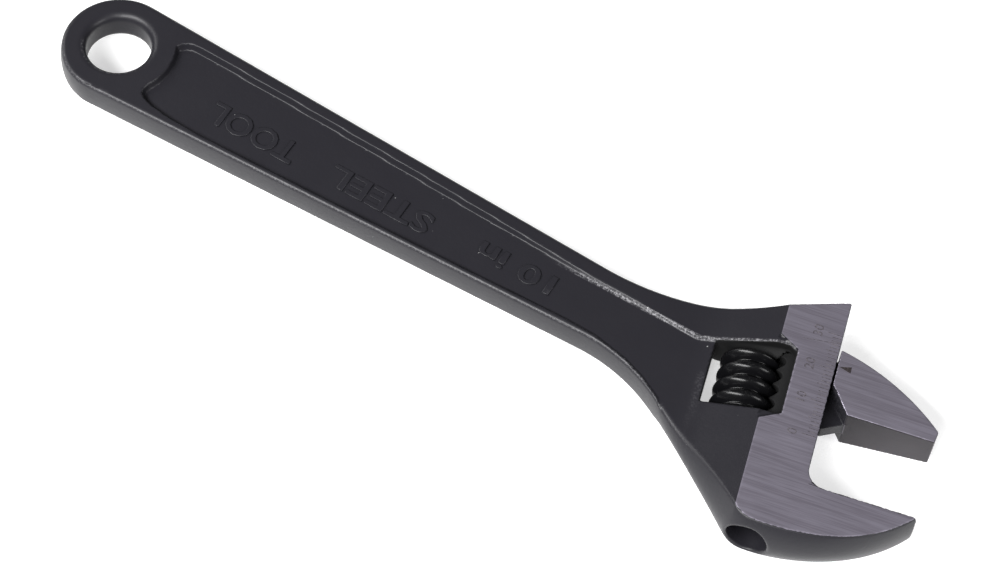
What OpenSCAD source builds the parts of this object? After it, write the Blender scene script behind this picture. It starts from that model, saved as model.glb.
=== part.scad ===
// Adjustable wrench, nominal size 250 mm.
// Origin: centre of the hang hole, on the mid-plane of the thickness.
// +X runs along the handle to the head, +Y to the movable jaw's side, +Z out of the upper face.
// The head has its own frame, turned by head_angle: u runs to the jaw tips, v runs along the slide,
// and both start at the throat, where the head's front meets the fixed jaw's face.

/* [Handle] */
// Outer radius of the eye at the handle's end
eye_r = 14.9; // [13:0.1:20]
// Half width of the handle where it is narrowest
neck_r = 9.9; // [8:0.1:12]
// Distance from the hang hole to the narrowest place
neck_x = 143; // [110:1:180]
// Thickness of the handle over its rims
handle_t = 8.8; // [7:0.1:12]
// Thickness of the web between the rims
web_t = 4.6; // [3:0.1:6]
// Width of each rim
rim_w = 4.1; // [3:0.1:5.5]
// Radius of the flat boss round the hang hole
boss_r = 15.5; // [13:0.1:20]
// Radius of the hang hole's straight wall
hang_r = 8.5; // [6:0.1:10]
// Radius of the round at each mouth of the hang hole
hang_round = 2.1; // [0.5:0.1:3]

/* [Head] */
// Distance from the hang hole to the throat, along the handle
head_x = 214.6; // [190:0.1:260]
// Offset of the throat from the handle's centre line
head_y = -19.1; // [-24:0.1:-16]
// Angle from the handle to the jaws
head_angle = 15; // [10:0.5:22.5]
// Thickness of the head at its front, where the scale is
front_t = 14.9; // [13:0.1:18]
// Slope of each ground face, in mm of height per mm towards the tips
face_slope = 0.072; // [0.04:0.002:0.1]
// Length of the scale edge, from the throat to the head's top
scale_edge = 53; // [48:0.5:60]
// Slope of the head's top edge in the head's frame
top_edge_angle = 21; // [15:1:28]
// Width of the ground band behind the scale edge
band_w = 15; // [12:0.5:18]
// Slope of the forged cheeks that fall from the ground band to the handle
cheek_slope = 0.29; // [0.2:0.01:0.4]
// Radius of the flare from the handle into the head, jaw side
flare_top_r = 74; // [45:1:85]
// Radius of the flare from the handle into the head, heel side
flare_heel_r = 48; // [35:1:70]
// Direction of the heel's straight side, measured from the handle
heel_side_angle = 34; // [28:1:40]
// Distance from the hang hole to where the heel side would cross the handle's centre line
heel_side_x = 147.5; // [110:0.5:190]
// Radius of the heel's corner
heel_r = 9; // [5:0.5:12]

/* [Jaws] */
// Opening between the jaws as drawn
opening = 21.7; // [5:0.1:28]
// Widest opening
opening_max = 30; // [28:0.5:32]
// Reach of the jaws from the head's front to their tips
jaw_reach = 28; // [24:0.5:32]
// Radius of the fixed jaw's back
fixed_back_r = 43.5; // [40:0.1:52]
// Depth of the fixed jaw below its face, where it is deepest
fixed_jaw_d = 15.1; // [13:0.1:18]
// Distance of that deepest place behind the head's front
fixed_back_u = 3.7; // [2:0.1:6]
// Radius of the movable jaw's back
movable_back_r = 58; // [50:1:70]
// Height of the movable jaw above its face, at its root
movable_jaw_h = 18; // [15:0.1:22]
// Slope of the movable jaw's back at its root
movable_back_angle = 10.9; // [8:0.1:16]
// Radius in the throat
throat_r = 4.5; // [3:0.1:6]
// Length of the jaw's face that is cut back at the root
root_u = 5.6; // [4:0.1:8]
// Height of that cut back corner
root_v = 7.3; // [5:0.1:9]

/* [Slide] */
// Radius of the movable jaw's round shank
shank_r = 5.1; // [4:0.05:6]
// Distance of the shank's axis behind the head's front
shank_u = 10.3; // [9:0.1:12]
// Length of the shank
shank_l = 36; // [30:1:42]
// How far the shank reaches below the movable jaw's face
shank_below = 12.7; // [10:0.1:16]
// Thickness of the neck that joins the jaw to the shank
neck_t = 4; // [3:0.1:5]
// How far the neck's lower edge reaches below the jaw's face
neck_below = 2.8; // [1:0.1:4]

/* [Worm] */
// Distance of the worm's axis behind the head's front
worm_u = 20.3; // [19:0.1:22]
// Radius of the thread's crest
worm_r = 7.2; // [6:0.1:8]
// Height of the thread
thread_h = 2.4; // [1.6:0.1:2.6]
// Pitch of the thread and of the rack
pitch = 4.2; // [3.5:0.1:5]
// Lower end of the worm's window above the throat
window_v = 16.4; // [14:0.1:18]
// Length of the worm's window along the slide
window_l = 17.6; // [15:0.1:20]
// Back wall of the window behind the head's front
window_back = 30; // [28:0.1:34]
// Radius of the pin that the worm turns on
pin_r = 2.2; // [1.8:0.1:2.6]
// Radius of the pin's screwed head
pin_head_r = 3; // [2.8:0.1:3.4]
// Length of the pin's screwed head
pin_head_l = 5; // [3:0.1:7]
// Depth of the pin's blind seat below the window
pin_seat = 8; // [5:0.1:10]
// Radius of the spring's wire
wire_r = 0.3; // [0.2:0.05:0.4]
// Turns of the spring
spring_turns = 3.5; // [2.5:0.5:5]
// Length of the spring
spring_l = 5; // [4:0.1:6]

/* [Fits] */
// Radial clearance of the shank in its bore
shank_gap = 0.1; // [0.02:0.01:0.1]
// Clearance beside the neck in its slot
slot_gap = 0.2; // [0.1:0.05:0.4]
// Gap between the movable jaw and the head's front
front_gap = 0.45; // [0.3:0.05:0.8]
// Clearance of the rack's grooves round the worm's thread
mesh_gap = 0.32; // [0.2:0.02:0.5]
// End clearance of the worm in its window
end_gap = 0.3; // [0.1:0.05:0.5]
// Radial clearance of the worm on its pin
pin_gap = 0.06; // [0.02:0.01:0.1]
// Radial clearance of the pin in the head
seat_gap = 0.03; // [0.01:0.01:0.05]
// Gap left between the jaws when they are closed
closed_gap = 0.1; // [0.05:0.05:0.3]

/* [Hidden] */
$fn = 64;
eps = 0.5;
big = 60;
eye_steps = 48;

// Colours of the black finish, the ground steel and the plain steel of the small parts
black = [0.13, 0.13, 0.14];
steel = [0.48, 0.46, 0.5];

// Worm and rack, in the head's frame
thread_mid_r = worm_r - thread_h / 2;
worm_l = window_l - 2 * end_gap;
worm_v = window_v + end_gap;
lead_angle = atan(pitch / (2 * PI * worm_r));
rack_flat = thread_mid_r - thread_h / 2 + mesh_gap;
spring_r = pin_r + 2 * pin_gap + 2.4 * wire_r;
spring_seat_r = spring_r + wire_r + 0.3;
bore_r = shank_r + shank_gap;
slot_w = neck_t + 2 * slot_gap;
window_front = shank_u;

// Half thickness of the head where the ground band ends, and of the handle's rim and web
band_h = front_t / 2 + face_slope * band_w;
rim_h = handle_t / 2;
web_h = web_t / 2;
tip_u = jaw_reach + 0.4;

// Handle's straight edge: the common tangent of the eye and of the neck's circle
taper = asin((eye_r - neck_r) / neck_x);
function edge_y(x) = (eye_r - x * sin(taper)) / cos(taper);

// A point of the head's frame in the handle's frame
function head_pt(u, v) = [head_x + u * cos(head_angle) - v * sin(head_angle),
                          head_y + u * sin(head_angle) + v * cos(head_angle)];
// Where the line through p at angle a meets the line through q at angle b
function meet(p, a, q, b) =
    let (d = q - p, k = (d.x * sin(b) - d.y * cos(b)) / sin(b - a))
    p + k * [cos(a), sin(a)];

eye_edge = eye_r * [sin(taper), cos(taper)];
top_corner = head_pt(0, scale_edge);
top_root = meet(eye_edge, -taper, top_corner, head_angle + top_edge_angle);
heel_line = [heel_side_x, 0];
heel_root = meet([eye_edge.x, -eye_edge.y], taper, heel_line, -heel_side_angle);

// Back of the fixed jaw: an arc about back_c, in the head's frame
back_c = [-fixed_back_u, fixed_back_r - fixed_jaw_d];
// Back of the movable jaw: an arc about movable_c, in the head's frame
movable_c = [0, opening + movable_jaw_h] - movable_back_r * [sin(movable_back_angle), cos(movable_back_angle)];

module in_head() { translate([head_x, head_y, 0]) rotate([0, 0, head_angle]) children(); }
// Extrudes an outline of (u, height) along v, from v0 to v1
module along_v(v0, v1) { translate([0, v1, 0]) rotate([90, 0, 0]) linear_extrude(v1 - v0) children(); }
// Round bar along v at distance u behind the front
module bar_v(u, v0, v1, r) { translate([-u, v0, 0]) rotate([-90, 0, 0]) cylinder(h = v1 - v0, r = r); }
// Outline extruded equally to both sides of the mid-plane
module slab(t) { linear_extrude(t, center = true) children(); }
module both_faces() { children(); mirror([0, 0, 1]) children(); }

// Fillet in the corner at c between a line that arrives at angle a and one that leaves at angle b
module flare(c, a, b, r) {
    t = r * tan((b - a) / 2);
    p1 = c - t * [cos(a), sin(a)];
    p2 = c + t * [cos(b), sin(b)];
    difference() {
        polygon([p1, p2, c + 4 * [sin(b), -cos(b)], c + 4 * [sin(a), -cos(a)]]);
        translate(p1 + r * [-sin(a), cos(a)]) circle(r = r, $fn = 200);
    }
}

// Outline from the eye to the throat, with straight runs where the flares and the jaw's back go
module rough_plan() {
    below = head_pt(jaw_reach, -fixed_jaw_d - 4);
    eye = [for (i = [0:eye_steps]) let (a = 270 + taper - i * (180 + 2 * taper) / eye_steps)
        eye_r * [cos(a), sin(a)]];
    polygon(concat(eye, [top_root, top_corner, head_pt(0, throat_r), head_pt(throat_r, 0),
        head_pt(jaw_reach, 0), below, meet(heel_line, -heel_side_angle, below, head_angle), heel_root]));
    flare(top_root, -taper, head_angle + top_edge_angle, flare_top_r);
    mirror([0, 1]) flare([heel_root.x, -heel_root.y], -taper, heel_side_angle, flare_heel_r);
}
// Everything under the arc of the fixed jaw's back and outside the heel's round corner
module heel_cut() {
    side = head_angle + heel_side_angle;
    d = [cos(side), -sin(side)];
    inward = [sin(side), cos(side)];
    p = (heel_line - [head_x, head_y]) * [[cos(head_angle), -sin(head_angle)],
                                          [sin(head_angle), cos(head_angle)]];
    q = p + heel_r * inward - back_c;
    k = -q * d + sqrt(pow(q * d, 2) - q * q + pow(fixed_back_r - heel_r, 2));
    c = back_c + q + k * d;
    out = (c - back_c) / norm(c - back_c);
    difference() {
        polygon([back_c, back_c + 1.5 * fixed_back_r * out, [big, -big], [big, back_c.y]]);
        translate(back_c) circle(r = fixed_back_r, $fn = 240);
    }
    difference() {
        polygon([c, c - 2 * heel_r * inward, c - 2 * heel_r * inward + 3 * heel_r * d, c + 3 * heel_r * out]);
        translate(c) circle(r = heel_r, $fn = 96);
    }
}
// The throat's circle is a hair over its radius, so that it crosses both straight sides
module throat_cut() { translate([throat_r, throat_r]) circle(r = throat_r + 0.05); }

// Body outline seen from above
module body_plan() {
    difference() {
        rough_plan();
        translate([head_x, head_y]) rotate(head_angle) heel_cut();
        translate([head_x, head_y]) rotate(head_angle) throat_cut();
    }
}

// Heights of the head over the mid-plane, along u: cheek, ground band and jaws
function cheek_u(h) = -band_w - (band_h - h) / cheek_slope;
module face_profile(h_end, step) {
    polygon([[-big * 5, 0], [-big * 5, h_end], [cheek_u(h_end) - step, h_end], [-band_w, band_h],
             [tip_u, front_t / 2 - face_slope * tip_u], [tip_u, 0]]);
}
// Everything between the two faces at rim level
module thickness() {
    in_head() both_faces() along_v(-2 * big, 2 * big) face_profile(rim_h, 0);
}
// Web and cheeks: the sunk level of both faces
module sunk_level() {
    in_head() both_faces() along_v(-2 * big, 2 * big) face_profile(web_h, 1);
    web_rise = (rim_h - web_h) * 0.6;
    both_faces() translate([0, big, 0]) rotate([90, 0, 0]) linear_extrude(2 * big)
        polygon([[neck_x * 0.68, web_h - eps], [neck_x * 0.68, web_h], [neck_x, web_h + web_rise],
                 [head_x, web_h + web_rise], [head_x, web_h - eps]]);
}
// Plan of the sunk panel between the rims, from the eye's boss to the worm's window
module panel_plan() {
    difference() {
        polygon([[boss_r * 0.6, edge_y(boss_r) - rim_w], [neck_x, edge_y(neck_x) - rim_w - 1],
                 head_pt(-window_back - 4, window_v + window_l - 1.3), head_pt(-window_back, window_v + window_l),
                 head_pt(-band_w, window_v + window_l + 4), head_pt(-band_w, -big / 2),
                 head_pt(-window_back - 12, -big / 2), [neck_x + 32, -neck_r - 5],
                 [neck_x + 10, rim_w - neck_r - 1.2], [neck_x, -edge_y(neck_x) + rim_w],
                 [boss_r * 0.6, -edge_y(boss_r) + rim_w]]);
        circle(r = boss_r, $fn = 120);
    }
}
module panels() {
    difference() {
        slab(2 * big) panel_plan();
        sunk_level();
    }
}
// Straight bore with a rounded mouth on both faces
module hang_hole() {
    slab(2 * rim_h + 2 * eps) circle(r = hang_r);
    both_faces() difference() {
        translate([0, 0, rim_h - hang_round]) cylinder(h = hang_round + eps, r = hang_r + hang_round);
        translate([0, 0, rim_h - hang_round]) rotate_extrude()
            translate([hang_r + hang_round, 0]) circle(r = hang_round);
    }
}

module window() {
    translate([-window_back, window_v, -big / 2]) cube([window_back - window_front, window_l, big]);
    // Shallow relief between the window and the ground band, with cut off corners
    relief = 0.5;
    relief_end = window_front + 0.05;
    both_faces() translate([0, 0, band_h - relief - face_slope * (band_w - window_front)])
        linear_extrude(big) polygon([[-band_w - eps, window_v - 3], [-band_w, window_v - 2.5],
            [-relief_end, window_v + 1], [-relief_end, window_v + window_l + 1],
            [-band_w, window_v + window_l + 4.5], [-band_w - eps, window_v + window_l + 4.5]]);
}
// Slot that lets the neck pass, open at the head's top
module neck_slot() {
    low = -neck_below + closed_gap - 2 * slot_gap;
    slab(slot_w) polygon([[-shank_u, low], [front_gap, low],
                          [root_u + 2 * slot_gap, closed_gap - slot_gap],
                          [root_u + 2 * slot_gap, 2 * eps], [0, scale_edge + big], [-shank_u, scale_edge + big]]);
}
module pin_holes() {
    pin_top = window_v + window_l + wall_over_window();
    bar_v(worm_u, window_v - pin_seat - seat_gap, pin_top, pin_r + seat_gap);
    bar_v(worm_u, pin_top - pin_head_l, pin_top + big, pin_head_r + seat_gap);
}
// Metal over the window at the worm's axis, up to the head's top edge
function wall_over_window() = scale_edge - worm_u * tan(top_edge_angle) - window_v - window_l - 1.2;

module body() {
    color(black) difference() {
        intersection() {
            slab(2 * band_h + 2 * eps) body_plan();
            thickness();
        }
        panels();
        hang_hole();
        in_head() {
            window();
            neck_slot();
            bar_v(shank_u, -2 * big, 2 * big, bore_r);
            pin_holes();
        }
    }
}

// Outline of the movable jaw and its neck, in the head's frame
module movable_jaw_plan() {
    intersection() {
        polygon([[front_gap, opening + root_v], [root_u, opening], [tip_u - 1.4, opening],
                 [tip_u, opening + 3.2], [tip_u, opening + big], [front_gap, opening + big]]);
        translate(movable_c) circle(r = movable_back_r, $fn = 240);
    }
}
module neck_plan() {
    polygon([[-shank_u, opening - neck_below], [front_gap, opening - neck_below], [root_u, opening],
             [root_u + 2, opening + 1], [root_u + 2, opening + movable_jaw_h - 3],
             [front_gap, opening + movable_jaw_h - 1.5], [-shank_u, opening + movable_jaw_h + 1]]);
}
// One groove of the rack: a straight prism that clears the thread at every depth
function thread_half(r) = pitch / 360 * acos((r - thread_mid_r) / (thread_h / 2));
module rack_groove() {
    crest = worm_r + mesh_gap;
    depths = [rack_flat - mesh_gap + 0.01, thread_mid_r, worm_r - thread_h / 8];
    side = [for (r = depths) [r, thread_half(r) + mesh_gap / 2]];
    linear_extrude(4 * shank_r, center = true)
        polygon(concat([[0, -side[0].y]], [for (p = side) [p.x, -p.y]],
                       [[crest, -mesh_gap], [crest, mesh_gap]],
                       [for (k = [len(side) - 1:-1:0]) side[k]], [[0, side[0].y]]));
}
module movable_jaw() {
    shank_v = opening - shank_below;
    // The grooves line up with the thread's crests that face the shank
    first = ceil((shank_v - worm_v) / pitch) - 1;
    last = floor((shank_v + shank_l - worm_v) / pitch) + 1;
    color(steel) in_head() difference() {
        union() {
            intersection() {
                slab(2 * band_h + 2 * eps) movable_jaw_plan();
                both_faces() along_v(0, 2 * big) face_profile(rim_h, 0);
            }
            slab(neck_t) neck_plan();
            bar_v(shank_u, shank_v, shank_v + shank_l, shank_r);
        }
        translate([-shank_u - 2 * shank_r, 0, -big / 2])
            cube([2 * shank_r + shank_u - worm_u + rack_flat, 2 * big, big]);
        for (i = [first:last])
            translate([-worm_u, worm_v + i * pitch, 0]) rotate([lead_angle, 0, 0]) rack_groove();
    }
}

// Right-handed rounded thread: an eccentric circle carried up its axis, one turn for each pitch.
// At its lower end the crest faces the shank.
module worm() {
    turns = worm_l / pitch;
    color(black) in_head() translate([-worm_u, worm_v, 0]) rotate([-90, 0, 0]) difference() {
        linear_extrude(worm_l, twist = -360 * turns, slices = round(turns * 24), $fn = 30)
            translate([thread_h / 2, 0]) circle(r = thread_mid_r, $fn = 30);
        translate([0, 0, -eps]) cylinder(h = worm_l + 2 * eps, r = pin_r + pin_gap);
        translate([0, 0, -eps]) cylinder(h = spring_l - end_gap + eps, r = spring_seat_r);
    }
}

module worm_pin() {
    pin_top = window_v + window_l + wall_over_window();
    slot = 0.8;
    color(steel) in_head() difference() {
        union() {
            bar_v(worm_u, window_v - pin_seat, pin_top - pin_head_l, pin_r);
            bar_v(worm_u, pin_top - pin_head_l, pin_top - 0.4, pin_head_r);
        }
        translate([-worm_u - pin_head_r - eps, pin_top - 1.6, -slot / 2]) cube([2 * pin_head_r + 2 * eps, 3, slot]);
    }
}

// Compression spring round the pin: a round wire carried along a helix
module worm_spring() {
    steps = round(spring_turns * 20);
    sides = 8;
    rise = spring_l - 2 * wire_r - 0.1;
    function ring(i) =
        let (a = 360 * spring_turns * i / steps, z = wire_r + 0.05 + rise * i / steps)
        [for (k = [0:sides - 1]) let (b = 360 * k / sides, r = spring_r + wire_r * cos(b))
            [r * cos(a), r * sin(a), z + wire_r * sin(b)]];
    points = [for (i = [0:steps]) each ring(i)];
    walls = [for (i = [0:steps - 1], k = [0:sides - 1])
        let (j = i * sides, n = (k + 1) % sides)
        each [[j + k, j + n, j + sides + k], [j + n, j + sides + n, j + sides + k]]];
    ends = [[for (k = [0:sides - 1]) sides - 1 - k], [for (k = [0:sides - 1]) steps * sides + k]];
    color(steel) in_head() translate([-worm_u, window_v, 0]) rotate([-90, 0, 0])
        polyhedron(points, concat(walls, ends));
}

body();
movable_jaw();
worm();
worm_pin();
worm_spring();
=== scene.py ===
# %% [markdown]
# # An adjustable wrench
# The forging, the sliding jaw, the worm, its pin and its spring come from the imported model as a
# fixed frame. This lesson rebuilds the pieces that show with softer, truer surfaces, gives each
# a finish of its own, and sets a pale studio round them. Lengths in the shape cells are in
# millimetres, because a toolmaker thinks in them, and each mesh is scaled to metres at its end.

# %% Load the frame
import math

import bpy
import numpy as np
from mathutils import Matrix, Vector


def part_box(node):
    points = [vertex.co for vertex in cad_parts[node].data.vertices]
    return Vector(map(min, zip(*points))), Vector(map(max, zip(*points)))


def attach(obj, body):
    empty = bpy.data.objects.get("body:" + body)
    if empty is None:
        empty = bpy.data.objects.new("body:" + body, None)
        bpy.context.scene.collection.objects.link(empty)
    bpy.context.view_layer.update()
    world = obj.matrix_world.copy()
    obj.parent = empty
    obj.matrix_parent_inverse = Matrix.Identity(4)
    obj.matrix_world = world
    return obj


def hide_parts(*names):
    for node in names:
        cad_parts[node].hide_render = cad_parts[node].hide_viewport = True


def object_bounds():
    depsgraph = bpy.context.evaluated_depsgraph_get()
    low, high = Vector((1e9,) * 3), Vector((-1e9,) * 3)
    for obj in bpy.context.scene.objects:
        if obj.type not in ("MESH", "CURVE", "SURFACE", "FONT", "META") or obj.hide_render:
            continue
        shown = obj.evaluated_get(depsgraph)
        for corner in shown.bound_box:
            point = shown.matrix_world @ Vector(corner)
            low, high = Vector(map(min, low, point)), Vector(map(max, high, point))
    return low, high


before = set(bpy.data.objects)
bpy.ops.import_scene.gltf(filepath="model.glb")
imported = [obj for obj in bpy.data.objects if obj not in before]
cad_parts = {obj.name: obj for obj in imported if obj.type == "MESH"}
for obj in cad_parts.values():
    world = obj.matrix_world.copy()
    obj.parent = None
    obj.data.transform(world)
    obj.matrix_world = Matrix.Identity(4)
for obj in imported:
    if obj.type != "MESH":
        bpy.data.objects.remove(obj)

cad_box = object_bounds()
MM = 0.001

# %% [markdown]
# ## The two frames of the tool
# The handle runs along x. The head is turned by fifteen degrees, and its own axes are u, towards
# the jaw tips, and v, along the slide. Both start at the throat. Every shape on the head is far
# easier to say in u and v, so two small functions carry whole arrays between the frames.

# %% The head's own axes
HEAD_X, HEAD_Y, HEAD_ANGLE = 214.6, -19.1, math.radians(15)
COS, SIN = math.cos(HEAD_ANGLE), math.sin(HEAD_ANGLE)
OPENING = 21.7          # gap between the jaws as drawn
SHANK_U, SHANK_R = -10.3, 5.1
WORM_U, WORM_V0, WORM_V1 = -20.3, 16.7, 33.7
PITCH = 4.2


def to_head(x, y):
    """Handle coordinates to head coordinates: shift to the throat, then turn back by the head angle."""
    dx, dy = x - HEAD_X, y - HEAD_Y
    return dx * COS + dy * SIN, dy * COS - dx * SIN


def from_head(u, v):
    """Head coordinates to handle coordinates: turn by the head angle, then shift to the throat."""
    return HEAD_X + u * COS - v * SIN, HEAD_Y + u * SIN + v * COS


print("worm axis crosses", [round(float(c), 2) for c in from_head(WORM_U, 25.2)])

# %% [markdown]
# ## Distances that make forged shapes
# A forging has no seams: rims run into cheeks, and every edge is rounded by the die. A surface
# made of patches would show joins exactly there. So each forged piece is written as a field, a
# number at every point of space that is negative in the steel and grows with the distance from
# its skin. Two fields are joined with a maximum, and a rounded maximum leaves a round edge of a
# chosen radius. The skin is then drawn where the field is nought.

# %% Round edges and soft steps
def round_max(a, b, r):
    """Larger of two fields, with a quarter circle of radius r where their zero levels cross."""
    corner = np.hypot(np.maximum(a + r, 0), np.maximum(b + r, 0))
    return np.minimum(np.maximum(a, b), -r) + corner


def soft_max(a, b, k):
    """Larger of two values, blended over a width k by a parabola."""
    h = np.clip(0.5 + 0.5 * (a - b) / k, 0, 1)
    return b + (a - b) * h + k * h * (1 - h)


def step(t):
    """Smooth step: three t squared less two t cubed, between nought and one."""
    t = np.clip(t, 0, 1)
    return t * t * (3 - 2 * t)


def larger(a, b):
    """Larger of two: of arrays here, and of shader values in the cells on finish."""
    return a.max(b) if hasattr(a, "socket") else np.maximum(a, b)


def smaller(a, b):
    """Smaller of two, for both kinds as well."""
    return a.min(b) if hasattr(a, "socket") else np.minimum(a, b)


def arc(centre, r, start, end, n=40):
    """Points on a circle: centre plus r times the cosine and sine of n angles, in degrees."""
    a = np.radians(np.linspace(start, end, n))
    return np.stack([centre[0] + r * np.cos(a), centre[1] + r * np.sin(a)], axis=1)


def outline_distance(points, x, y):
    """Distance to a closed outline, negative inside. For each side the point is dropped onto it,
    and the number of sides crossed by a ray to the right says which side of the skin it is on."""
    px, py = x.ravel(), y.ravel()
    best = np.full(px.shape, 1e9)
    inside = np.zeros(px.shape, bool)
    for (ax, ay), (bx, by) in zip(points, np.roll(points, -1, axis=0)):
        ex, ey = bx - ax, by - ay
        t = np.clip(((px - ax) * ex + (py - ay) * ey) / (ex * ex + ey * ey), 0, 1)
        best = np.minimum(best, (px - ax - t * ex) ** 2 + (py - ay - t * ey) ** 2)
        if ey != 0:
            crosses = ((ay > py) != (by > py)) & (px < ax + (py - ay) * ex / ey)
            inside ^= crosses
    d = np.sqrt(best)
    return np.where(inside, -d, d).reshape(x.shape)


class Plan:
    """A field over the plane, worked out once on a fine grid and read back between its points by
    a weighted mean of the four nearest."""

    def __init__(self, points, low, high, cell=0.4, blur=0):
        nx, ny = [int((h - l) / cell) + 2 for l, h in zip(low, high)]
        gx, gy = np.meshgrid(low[0] + cell * np.arange(nx), low[1] + cell * np.arange(ny),
                             indexing="ij")
        self.low, self.cell = low, cell
        self.table = outline_distance(points, gx, gy)
        for _ in range(blur):
            p = np.pad(self.table, 1, mode="edge")
            beside = p[:-2, 1:-1] + p[2:, 1:-1] + p[1:-1, :-2] + p[1:-1, 2:]
            self.table = (beside + 4 * p[1:-1, 1:-1]) / 8

    def __call__(self, x, y):
        fx = np.clip((x - self.low[0]) / self.cell, 0, self.table.shape[0] - 1.001)
        fy = np.clip((y - self.low[1]) / self.cell, 0, self.table.shape[1] - 1.001)
        i, j = fx.astype(int), fy.astype(int)
        s, t, g = fx - i, fy - j, self.table
        return ((g[i, j] * (1 - s) + g[i + 1, j] * s) * (1 - t)
                + (g[i, j + 1] * (1 - s) + g[i + 1, j + 1] * s) * t)


print("a square corner rounded by one:", round(float(round_max(0.0, 0.0, 1.0)), 3))

# %% [markdown]
# ## From a field to a mesh
# Space is cut into small cubes. Each cube that the skin passes through gets one vertex, at the
# mean of the places where the skin cuts the cube's edges. Each cube edge that the skin cuts gets
# one four-sided face between the four cubes round it. Then every vertex is slid along the field's
# slope until it lies on the skin, which takes out the last trace of the cubes.

# %% Skin of a field
def skin(field, low, high, cell):
    """Vertices and four-sided faces of the surface where field(x, y, z) is nought."""
    count = [int(math.ceil((h - l) / cell)) + 1 for l, h in zip(low, high)]
    axes = [l + cell * np.arange(n) for l, n in zip(low, count)]
    f = np.concatenate([field(*np.meshgrid(part, axes[1], axes[2], indexing="ij"))
                        for part in np.array_split(axes[0], 12)], axis=0)
    cells = tuple(n - 1 for n in count)
    total, hits = np.zeros(cells + (3,)), np.zeros(cells)
    cuts = []
    for axis in range(3):
        a = [slice(None)] * 3
        b = [slice(None)] * 3
        a[axis], b[axis] = slice(0, -1), slice(1, None)
        fa, fb = f[tuple(a)], f[tuple(b)]
        cut = (fa < 0) != (fb < 0)
        part = np.where(cut, fa / np.where(cut, fa - fb, 1), 0)
        others = [k for k in range(3) if k != axis]
        for da in (0, 1):
            for db in (0, 1):
                s = [slice(None)] * 3
                s[others[0]] = slice(da, cells[others[0]] + da)
                s[others[1]] = slice(db, cells[others[1]] + db)
                c = cut[tuple(s)]
                total[..., axis] += part[tuple(s)]
                total[..., others[0]] += c * da
                total[..., others[1]] += c * db
                hits += c
        cuts.append((cut, fa < 0))
    index = np.full(cells, -1)
    used = hits > 0
    index[used] = np.arange(used.sum())
    where = np.argwhere(used)
    points = np.array(low) + cell * (where + total[used] / hits[used][:, None])
    faces = []
    for axis, (cut, first_inside) in enumerate(cuts):
        o1, o2 = (axis + 1) % 3, (axis + 2) % 3
        at = np.argwhere(cut)
        at = at[(at[:, o1] > 0) & (at[:, o2] > 0)
                & (at[:, o1] < cells[o1]) & (at[:, o2] < cells[o2])]
        ring = []
        for d1, d2 in ((-1, -1), (0, -1), (0, 0), (-1, 0)):
            c = at.copy()
            c[:, o1] += d1
            c[:, o2] += d2
            ring.append(index[c[:, 0], c[:, 1], c[:, 2]])
        quad = np.stack(ring, axis=1)
        turned = ~first_inside[at[:, 0], at[:, 1], at[:, 2]]
        quad[turned] = quad[turned][:, ::-1]
        faces.append(quad)
    return slide_to_skin(field, points, cell), np.concatenate(faces)


def slope(field, p, h=0.06):
    """Slope of the field at each point: the difference over a short way along each axis."""
    g = np.empty_like(p)
    for k in range(3):
        d = np.zeros(3)
        d[k] = h
        g[:, k] = (field(*(p + d).T) - field(*(p - d).T)) / (2 * h)
    return g


def slide_to_skin(field, p, cell, rounds=3):
    """Each point moves against the slope by the field's value over the slope squared."""
    start = p.copy()
    for _ in range(rounds):
        g = slope(field, p)
        move = field(*p.T)[:, None] * g / np.maximum((g ** 2).sum(axis=1), 0.05)[:, None]
        p = p - np.clip(move, -0.3 * cell, 0.3 * cell)
    return start + np.clip(p - start, -cell, cell)


def put_mesh(name, points, faces, normals=None):
    """Object at the origin from points in millimetres and whole arrays of faces, shaded smooth."""
    mesh = bpy.data.meshes.new(name)
    n = faces.shape[1]
    mesh.vertices.add(len(points))
    mesh.vertices.foreach_set("co", (np.asarray(points) * MM).astype(np.float32).ravel())
    mesh.loops.add(faces.size)
    mesh.loops.foreach_set("vertex_index", faces.astype(np.int32).ravel())
    mesh.polygons.add(len(faces))
    mesh.polygons.foreach_set("loop_start", np.arange(0, faces.size, n, dtype=np.int32))
    mesh.update(calc_edges=True)
    mesh.validate()
    mesh.shade_smooth()
    if normals is not None:
        mesh.normals_split_custom_set_from_vertices(normals.astype(np.float32))
    obj = bpy.data.objects.new(name, mesh)
    bpy.context.scene.collection.objects.link(obj)
    print(name, len(points), "vertices", len(faces), "faces")
    return obj


def forge(field, low, high, cell):
    """Points, faces and unit normals of a closed piece. The normals are the field's own slope over
    its length, so that shading is smoother than the faces."""
    points, faces = skin(field, low, high, cell)
    g = slope(field, points, 0.12)
    return points, faces, g / np.maximum(np.linalg.norm(g, axis=1, keepdims=True), 1e-6)


# %% [markdown]
# ## Outline of the forging
# Seen from above, the tool is an eye, a tapering handle, a flare on each side and a head. The
# outline here is the one at the parting line, halfway through the thickness, where a forging is
# widest. It is a chain of straight runs and arcs, and each corner's arc touches both its lines.

# %% Chain of lines and arcs
EYE_R, NECK_R, NECK_X = 14.95, 9.9, 143.0
TAPER = math.asin((EYE_R - NECK_R) / NECK_X)
BACK_C, BACK_R = np.array([-6.06, 28.4]), 45.07     # circle of the fixed jaw's back, in u and v
HEEL_R, HEEL_X, HEEL_SIDE = 9.0, 147.9, 49.0        # corner, where its side's line starts, angle
TOP_V, TOP_SLOPE = 53.7, 21.0       # far end of the head: its v at u nought, its angle from u
FLARE_TOP_R, FLARE_HEEL_R = 74.0, 48.0              # arcs from the handle into the head's sides
PLAN_LOW, PLAN_HIGH = (-20, -46), (262, 50)


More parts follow.
